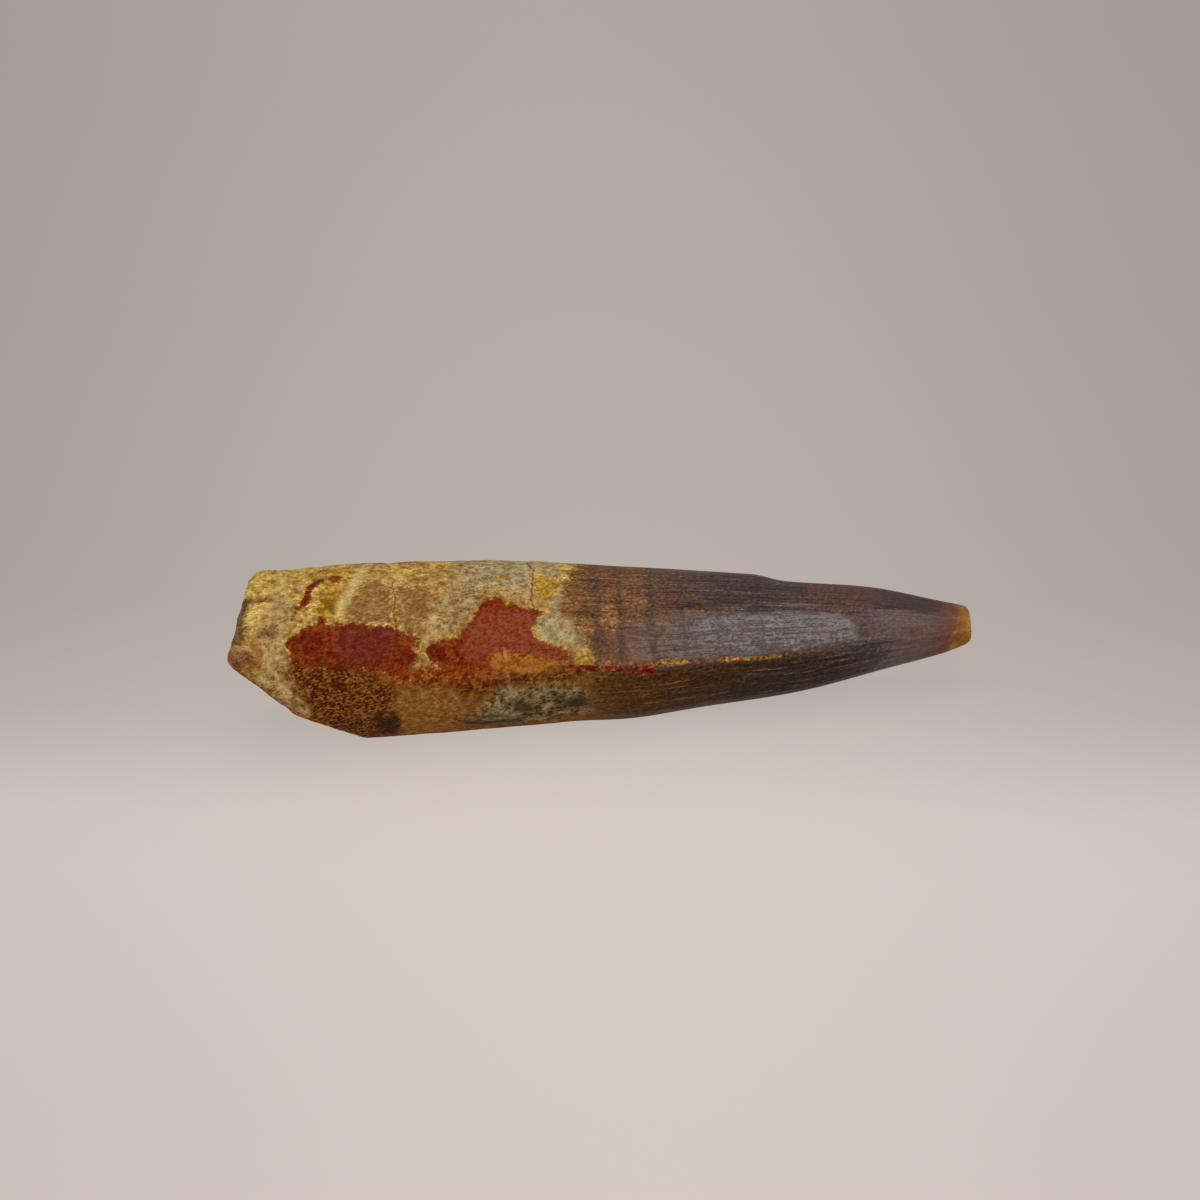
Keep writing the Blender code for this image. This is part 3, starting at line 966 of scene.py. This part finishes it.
class ToothBrush(Brush):
    """A brush with the places and noises that the whole tooth shares."""

    def __init__(self, material):
        super().__init__(material)
        self.along = self.field("along")
        self.lift = self.field("lift")
        lane = self.node("ShaderNodeAttribute", (), output="Vector", attribute_name="lane")
        self.tone = self.grain(6.5, 2.0)
        self.wobble = self.grain(1.7, 3.0, 0.6, shift=7.0)
        self.mottle = self.grain(1.0, 3.0, 0.6, shift=11.0)
        self.speck = self.grain(0.29, 2.0, 0.65, stretch=1.7, tilt=20.0, shift=23.0)
        self.fleck = self.grain(0.55, 3.0, 0.65, stretch=1.4, tilt=20.0, shift=37.0)
        self.streak = self.grain(0.42, 3.0, 0.7, stretch=16.0, shift=5.0, place=lane)
        self.cloud = self.grain(2.4, 3.0, 0.6, stretch=1.3, shift=31.0)

    def patch(self, name, soft, wobble, grit):
        """A marking: 1 inside its outline and 0 outside, with a ragged, grainy edge."""
        value = self.add(self.field(name), (wobble, self.wobble), (grit, self.speck))
        return self.ease(value, -soft, soft)

    def tones(self, name, noise_value, spread=0.16):
        """The dark, middle and light tone of one of the tooth's colours, in grains."""
        dark, middle, light = TONES[name]
        return self.ramp(noise_value, ((-spread, dark), (0.0, middle), (spread, light)))

    def mixed(self, weights):
        """Several of the noises, added up by their weights."""
        value = 0.0
        for name, weight in weights.items():
            value = self.add(value, (weight, getattr(self, name)))
        return value

    def stains(self, base, rows):
        """A colour with stains laid over it, in the order of their table."""
        for name, share, edge, weights, spread in rows:
            patch = self.times(share, self.patch(name, *edge))
            base = self.mix(patch, base, self.tones(name, self.mixed(weights), spread))
        return base

    def line(self, name, wobble, grit, low, high):
        """A streak: 1 on its line and 0 away from it, with a ragged edge."""
        value = self.add(self.field(name), (wobble, self.wobble), (grit, self.speck))
        return self.ease(value, low, high)

    def span(self, name):
        """1 along one of the spans, fading to 0 at its ends."""
        start, end = SPANS[name]
        return self.times(self.ease(self.along, *start), self.fall(self.along, *end))


def red_share(b):
    """The red stains, whose lower edge is frayed."""
    fray = b.times(b.fall(b.lift, 4.0, 18.0), b.mixed({"fleck": 6.0, "mottle": 5.0}))
    red = b.add(b.field("red"), (2.2, b.wobble), (1.3, b.speck), (1.0, fray))
    return b.ease(red, -0.25, 0.25)


def root_lines(b, base):
    """The pale and brown streaks, the black spots and the rim of the root."""
    base = b.mix(b.times(0.3, b.line("seam", 0.5, 0.5, -0.3, -0.05)), base, shade("seam"))
    base = b.mix(b.times(0.8, b.patch("black_spots", 0.6, 4.0, 4.0)), base, shade("black_spots"))
    fringe = b.fall(b.add(b.field("past_rim"), (2.0, b.wobble), (1.0, b.speck)), 0.35, 1.0)
    fringe = b.times(fringe, b.fall(b.lift, 10.0, 24.0), 0.9)
    base = b.mix(fringe, base, b.tones("fringe", b.fleck))
    base = b.stains(base, KNOB_STAINS)
    base = b.mix(b.times(0.7, b.line("knob_rim", 0.6, 0.0, -0.7, -0.15)), base, shade("knob_rim"))
    # The fissure's dark line: its brown stain and painted shade in its groove
    brown = b.mix(b.ease(b.along, 3.0, 4.2), shade("fissure_mouth"), shade("fissure"))
    base = b.mix(b.times(0.85, b.line("fissure", 0.9, 0.6, -0.7, -0.1)), base, brown)
    return b.mix(b.times(0.6, b.line("pale_streak", 1.5, 1.0, -1.1, -0.1)), base, shade("pale_streak"))


def root_colour(b):
    """Mottled ochre, tan and grey bone with red, orange and dark stains."""
    base = b.stains(b.tones("bone", b.mixed(BROAD)), UPPER_STAINS)
    # Below its middle the root turns browner and darker, partly its own colour and partly painted shade
    low = b.fall(b.add(b.lift, (44.0, b.wobble), (24.0, b.fleck)), -9.0, 8.0)
    base = b.mix(low, base, b.tones("brown", b.mixed(FINE), 0.18))
    base = b.stains(base, ROOT_STAINS)
    red = red_share(b)
    stain = b.stains(b.tones("stain", b.mixed(FINE_BLOTCHED), 0.2), RED_STAINS)
    base = b.stains(b.mix(red, base, stain), GLOW_STAINS)
    return root_lines(b, base), red


def painted_sheen(b, base):
    """Painted sheen: a grey painted reflection over the near side of the crown, warmer where it starts,
    under the coat's real gloss.
    """
    shine = b.times(b.patch("painted_sheen", 0.45, 2.2, 1.0), b.ease(b.along, 48.0, 58.0))
    shine = b.times(shine, b.ease(b.mixed({"cloud": 0.4, "mottle": 0.3, "streak": 0.5}), -0.3, -0.05))
    bright = b.ease(b.add(b.along, (8.0, b.cloud), (8.0, b.streak)), 57.0, 69.0)
    grit = b.mixed({"speck": 1.0, "mottle": 0.3, "streak": 1.3})
    tone = b.mix(bright, b.tones("painted_sheen_start", grit, 0.11), b.tones("painted_sheen", grit, 0.11))
    base = b.mix(b.times(shine, 0.8), base, tone)
    return base, b.times(shine, b.blend(bright, 0.45, 1.0))


def growth_bands(b, base):
    """Faint dark bands around the crown."""
    ragged = b.add(b.along, (2.5, b.wobble), (1.5, b.speck))
    for place in GROWTH_BANDS:
        offset = b.math("ABSOLUTE", b.math("SUBTRACT", ragged, place))
        band = b.times(b.fall(offset, 0.1, 0.8), b.fall(b.along, 56.0, 84.0), 0.5)
        base = b.mix(band, base, shade("growth_band"))
    return base


def enamel_lines(b, base):
    """Fine dark and light lines that run along the crown."""
    dark = b.times(b.ease(b.streak, 0.03, 0.14), b.blend(b.ease(b.lift, 24.0, 44.0), 0.3, 0.6))
    base = b.mix(dark, base, shade("dark_line"))
    light = b.times(b.fall(b.streak, -0.2, -0.05), b.fall(b.along, 80.0, 88.0), 0.3)
    return b.mix(light, base, shade("light_line"))


def crown_colour(b):
    """Brown enamel, darker and greyer towards the tip, and its shine and underside as shares."""
    base = b.ramp(b.add(b.along, (7.0, b.cloud)), ENAMEL_TONES)
    upper = b.times(b.ease(b.add(b.lift, (20.0, b.streak)), 38.0, 56.0), b.ease(b.along, 54.0, 66.0))
    upper = b.times(upper, b.blend(b.ease(b.along, 80.0, 87.0), 0.55, 0.85))
    base = b.stains(b.mix(upper, base, shade("upper_enamel")), ENAMEL_STAINS)
    base, shine = painted_sheen(b, base)
    base = growth_bands(b, base)
    # The underside is darker below the cutting edges, partly its own colour and partly painted shade
    under = b.fall(b.add(b.lift, (14.0, b.streak)), -4.0, -1.0)
    base = b.mix(under, base, b.ramp(b.add(b.along, (5.0, b.cloud)), UNDERSIDE_TONES))
    base = b.mix(b.times(0.6, b.patch("black", 1.5, 4.0, 1.0)), base, shade("black_enamel_and_shade"))
    return enamel_lines(b, base), b.times(shine, b.math("SUBTRACT", 1.0, under)), under


def cutting_edges(b, base):
    """The coloured strip along the near and far cutting edges, with a broader block of red."""
    block = b.span("block")
    middle = b.add(0.8, (-1.6, block), (2.0, b.span("past_block")))
    ragged = b.add(b.math("SUBTRACT", b.lift, middle), (5.0, b.wobble), (2.5, b.speck))
    offset = b.math("ABSOLUTE", ragged)
    strip = b.fall(b.add(offset, (-2.6, block), (0.7, b.ease(b.along, 56.5, 57.0))), 2.0, 2.9)
    strip = b.times(strip, b.span("strip"))
    grain = b.mixed(FLECKED)
    gap = b.times(0.8, b.span("gap"))
    tone = b.mix(gap, b.tones("strip_red", grain), shade("strip_gap"))
    tone = b.mix(b.ease(b.along, 56.4, 56.7), tone, b.tones("strip_gold", grain))
    dim = b.times(b.ease(b.add(b.along, (2.0, b.mottle)), 60.2, 61.6), b.fall(b.along, 64.6, 66.2))
    dim = b.add(dim, (1.0, b.ease(b.along, 71.0, 74.0)))
    tone = b.mix(dim, tone, b.tones("strip_brown", grain))
    shadow = b.times(b.fall(offset, 0.8, 2.0), b.span("shadow"), 0.7)
    return b.mix(strip, b.mix(shadow, base, shade("edge_shadow")), tone), strip


def tip_colour(b, base):
    """Red-brown, then amber, where the enamel thins out at the worn tip, with a pale painted highlight
    where the sheen ends.
    """
    along = b.add(b.along, (3.0, b.wobble), (4.0, b.cloud), (-0.01, b.lift))
    base = b.mix(b.times(0.9, b.ease(along, 94.0, 98.0)), base, shade("red_brown"))
    base = b.mix(b.ease(along, 96.6, 98.8), base, b.tones("amber", b.cloud, 0.2))
    # A faint pale arc: painted highlight at the end of the sheen
    return b.mix(b.times(0.3, b.line("painted_highlight_arc", 2.0, 0.0, -0.9, 0.3)), base, shade("painted_highlight_arc"))


def cracks(b, base):
    """Hairline cracks, as a share of dark and as depth."""
    side = b.add(b.field("crack_side"), (1.2, b.fleck))
    line = b.fall(b.math("ABSOLUTE", side), 0.03, 0.14)
    line = b.times(line, b.field("crack_near"), b.ease(b.mottle, -0.2, 0.0))
    return b.mix(b.times(line, 0.85), base, shade("crack")), line


def broken_face(b, base):
    """Dull brown fracture inside the broken root end."""
    inside = b.ease(b.add(b.field("under_skin"), (2.0, b.wobble), (1.5, b.speck)), 0.7, 1.3)
    inside = b.times(inside, b.fall(b.along, 30.0, 40.0))
    return b.mix(inside, base, b.tones("fracture", b.mottle))


def grainy(b, base, crown):
    """A colour made darker and lighter by its grain, and along the crown by its streaks."""
    grain = b.times(b.add(b.speck, (b.blend(crown, 0.5, 0.2), b.fleck)), b.blend(crown, 2.3, 3.9))
    streaks = b.times(crown, b.ease(b.along, 52.0, 62.0), b.streak)
    contrast = b.times(b.add(grain, (2.4, streaks)), b.blend(b.ease(b.along, 80.0, 92.0), 1.0, 0.35))
    return b.brighten(base, b.math("EXPONENT", b.times(contrast, -1.0)))


def bumps(b, crown, red, crack):
    """Grain, wrinkles and cracks too fine for the mesh, as bump."""
    weathered = b.fall(b.add(b.field("past_weathered_edge"), (3.0, b.wobble)), -0.5, 0.5)
    pits = b.mixed({"speck": -0.9, "fleck": -1.0})
    pits = b.times(pits, b.blend(red, 1.0, 0.6), b.blend(weathered, 1.0, 1.6))
    lines = b.times(b.mixed({"streak": -0.48, "speck": -0.4}), b.fall(b.along, 82.0, 90.0))
    height = b.math("SUBTRACT", b.blend(crown, pits, lines), b.times(crack, 0.25))
    normal = b.node("ShaderNodeBump", {"Strength": 1.0, "Distance": BUMP_HEIGHT, "Height": height})
    for socket in ("Normal", "Coat Normal"):
        b.feed(b.shader.inputs[socket], normal)


def gloss(b, crown, shine, under, strip):
    """Rough bone, and enamel with a thin coat that shines most where its sheen is painted."""
    rough = b.blend(crown, b.add(0.75, (0.3, b.mottle)), b.add(0.5, (0.3, b.streak)))
    b.feed(b.shader.inputs["Roughness"], rough)
    veil = b.times(b.blend(b.ease(b.along, 50.0, 68.0), 0.06, 0.28), b.blend(under, 1.0, 0.25))
    coat = b.times(crown, b.add(veil, (0.35, shine)), b.math("SUBTRACT", 1.0, strip))
    b.feed(b.shader.inputs["Coat Weight"], coat)
    b.shader.inputs["Coat Roughness"].default_value = 0.28
    b.shader.inputs["Specular IOR Level"].default_value = 0.04


def tooth_material():
    """Bone of the root, enamel of the crown and what lies between them."""
    material = bpy.data.materials.new("fossil_tooth_detail")
    b = ToothBrush(material)
    root, red = root_colour(b)
    enamel, shine, under = crown_colour(b)
    past_edge = b.add(b.field("past_brown_edge"), (6.0, b.wobble), (2.0, b.speck))
    crown = b.ease(past_edge, -1.3, 1.3)
    base, strip = cutting_edges(b, b.mix(crown, root, enamel))
    base, crack = cracks(b, tip_colour(b, base))
    base = grainy(b, broken_face(b, base), crown)
    b.feed(b.shader.inputs["Base Color"], base)
    gloss(b, crown, shine, under, strip)
    bumps(b, crown, red, crack)
    return material


# Pieces

def make_tooth():
    """The tooth's fine mesh with its markings and its material."""
    data = bpy.data.meshes.new("tooth_surface")
    mesh = tooth_mesh()
    mesh.to_mesh(data)
    mesh.free()
    data.shade_smooth()
    add_fields(data)
    data.materials.append(tooth_material())
    piece = bpy.data.objects.new("tooth_surface", data)
    bpy.context.scene.collection.objects.link(piece)
    return piece


# Studio

# The floor and the wall it bends into, in metres
FLOOR_FRONT = -0.9
FLOOR_BACK = 0.55
WALL_BEND = 0.40
WALL_BEND_STEPS = 24
WALL_TOP = 1.2
FLOOR_HALF_WIDTH = 1.5

# Colours of the floor by how far back it lies, in millimetres, along a line turned a little: painted
# shade, darker further back
FLOOR_TONES = (
    (-130.0, (208, 199, 192)), (-62.0, (211, 202, 195)), (-41.0, (210, 201, 194)),
    (-27.0, (206, 197, 190)), (-11.5, (201, 193, 185)), (1.0, (196, 188, 180)),
    (14.0, (192, 184, 176)), (32.0, (187, 179, 172)), (52.0, (183, 175, 168)),
    (97.0, (181, 173, 166)), (270.0, (178, 170, 163)), (700.0, (175, 167, 160)),
)
FLOOR_TURN = 0.257

# Painted shade: the floor darkens to its sides, by the slope away from a place far in front of the
# tooth, and less so in the foreground
FLOOR_MIDDLE = -440.0
FLOOR_NEAREST = 290.0
FLOOR_SIDE_SLOPE = 0.27
SIDES_DARKER = 0.216
NEAR_SIDES = (-45.0, 0.0)
NEAR_SIDES_SHARE = 0.45

# The floor glows: painted light that keeps the tooth's shadow on it faint
FLOOR_GLOW = 0.87
FLOOR_DIFFUSE = 0.15
FLOOR_ROUGHNESS = 0.9
FLOOR_SPECULAR = 0.1

# Soft boxes: name, azimuth, elevation, distance, width, height, power and colour
LIGHTS = (
    ("key", 10.0, 38.0, 1.4, 0.60, 0.50, 7.0, (0.97, 0.98, 1.0)),
    ("top", -10.0, 100.0, 1.4, 1.20, 0.60, 4.0, (1.0, 0.99, 0.98)),
)
LIT_HEIGHT = 12 * MM
WORLD_COLOUR = (1.0, 0.985, 0.97, 1.0)
WORLD_STRENGTH = 0.62

CAMERA_ELEVATION = 17.0
CAMERA_ROLL = 4.29
CAMERA_LENS = 100.0
CAMERA_DISTANCE = 0.4522
CAMERA_TARGET = Vector((-0.15, 1.25, 15.60)) * MM


def floor_mesh():
    """A floor that bends up into a wall."""
    profile = [(FLOOR_FRONT, 0.0)]
    for index in range(WALL_BEND_STEPS + 1):
        angle = 0.5 * math.pi * index / WALL_BEND_STEPS
        back, up = WALL_BEND * math.sin(angle), WALL_BEND * (1.0 - math.cos(angle))
        profile.append((FLOOR_BACK + back, up))
    profile.append((FLOOR_BACK + WALL_BEND, WALL_TOP))
    mesh = bmesh.new()
    left = [mesh.verts.new((-FLOOR_HALF_WIDTH, y, z)) for y, z in profile]
    right = [mesh.verts.new((FLOOR_HALF_WIDTH, y, z)) for y, z in profile]
    for index in range(len(profile) - 1):
        mesh.faces.new((left[index], right[index], right[index + 1], left[index + 1]))
    return mesh


def floor_material():
    """Pale floor that glows a little as painted light, with painted shade behind the tooth and to the
    sides.
    """
    material = bpy.data.materials.new("pale_floor")
    brush = Brush(material)
    across = brush.node("ShaderNodeSeparateXYZ", (brush.place,), output="X")
    depth = brush.node("ShaderNodeSeparateXYZ", (brush.place,), output="Y")
    turned = brush.add(depth, (FLOOR_TURN, across))
    tone = brush.ramp(turned, FLOOR_TONES)
    away = brush.math("MAXIMUM", brush.math("SUBTRACT", depth, FLOOR_MIDDLE), FLOOR_NEAREST)
    slope = brush.math("ABSOLUTE", brush.math("DIVIDE", across, away))
    sides = brush.ease(slope, 0.0, FLOOR_SIDE_SLOPE)
    sides = brush.times(sides, brush.blend(brush.ease(turned, *NEAR_SIDES), NEAR_SIDES_SHARE, 1.0))
    tone = brush.brighten(tone, brush.math("SUBTRACT", 1.0, brush.times(sides, SIDES_DARKER)))
    inputs = brush.shader.inputs
    brush.feed(inputs["Base Color"], brush.brighten(tone, FLOOR_DIFFUSE))
    brush.feed(inputs["Emission Color"], tone)
    inputs["Emission Strength"].default_value = FLOOR_GLOW
    inputs["Roughness"].default_value = FLOOR_ROUGHNESS
    inputs["Specular IOR Level"].default_value = FLOOR_SPECULAR
    return material


def make_floor():
    """The pale floor and wall, which aren't part of the tooth."""
    data = bpy.data.meshes.new("floor_sweep")
    mesh = floor_mesh()
    mesh.to_mesh(data)
    mesh.free()
    data.shade_smooth()
    data.materials.append(floor_material())
    floor = bpy.data.objects.new("floor_sweep", data)
    bpy.context.scene.collection.objects.link(floor)


def direction(azimuth, elevation):
    """The way to a place seen at an azimuth and elevation, with 0 in front at -Y."""
    a, e = math.radians(azimuth), math.radians(elevation)
    return Vector((math.sin(a) * math.cos(e), -math.cos(a) * math.cos(e), math.sin(e)))


def make_light(name, azimuth, elevation, distance, width, height, power, tint):
    """A soft box that faces the middle of the tooth."""
    light = bpy.data.lights.new(name, "AREA")
    light.shape = "RECTANGLE"
    light.size, light.size_y = width, height
    light.energy = power
    light.color = tint
    lamp = bpy.data.objects.new(name, light)
    way = direction(azimuth, elevation)
    lamp.location = way * distance + Vector((0, 0, LIT_HEIGHT))
    lamp.rotation_euler = way.to_track_quat("Z", "Y").to_euler()
    bpy.context.scene.collection.objects.link(lamp)


def make_world():
    """Even soft light from all sides."""
    world = bpy.data.worlds.new("studio")
    world.use_nodes = True
    background = world.node_tree.nodes["Background"]
    background.inputs["Color"].default_value = WORLD_COLOUR
    background.inputs["Strength"].default_value = WORLD_STRENGTH
    bpy.context.scene.world = world


def make_camera():
    """A long lens from the front, a little above, turned so that the tooth rises to the right."""
    camera = bpy.data.cameras.new("camera")
    camera.lens = CAMERA_LENS
    camera.clip_start = 0.01
    back = direction(0.0, CAMERA_ELEVATION)
    level = Vector((1, 0, 0))
    upright = back.cross(level)
    roll = math.radians(CAMERA_ROLL)
    right = level * math.cos(roll) - upright * math.sin(roll)
    up = back.cross(right)
    matrix = Matrix((right, up, back)).transposed().to_4x4()
    matrix.translation = CAMERA_TARGET + back * CAMERA_DISTANCE
    holder = bpy.data.objects.new("camera", camera)
    holder.matrix_world = matrix
    bpy.context.scene.collection.objects.link(holder)
    bpy.context.scene.camera = holder


def main():
    """Camera, light and floor, and the tooth itself."""
    make_camera()
    make_world()
    for settings in LIGHTS:
        make_light(*settings)
    make_floor()
    tooth = make_tooth()
    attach(tooth, "root")
    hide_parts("tooth")
    bpy.context.scene.view_settings.view_transform = "Standard"


main()
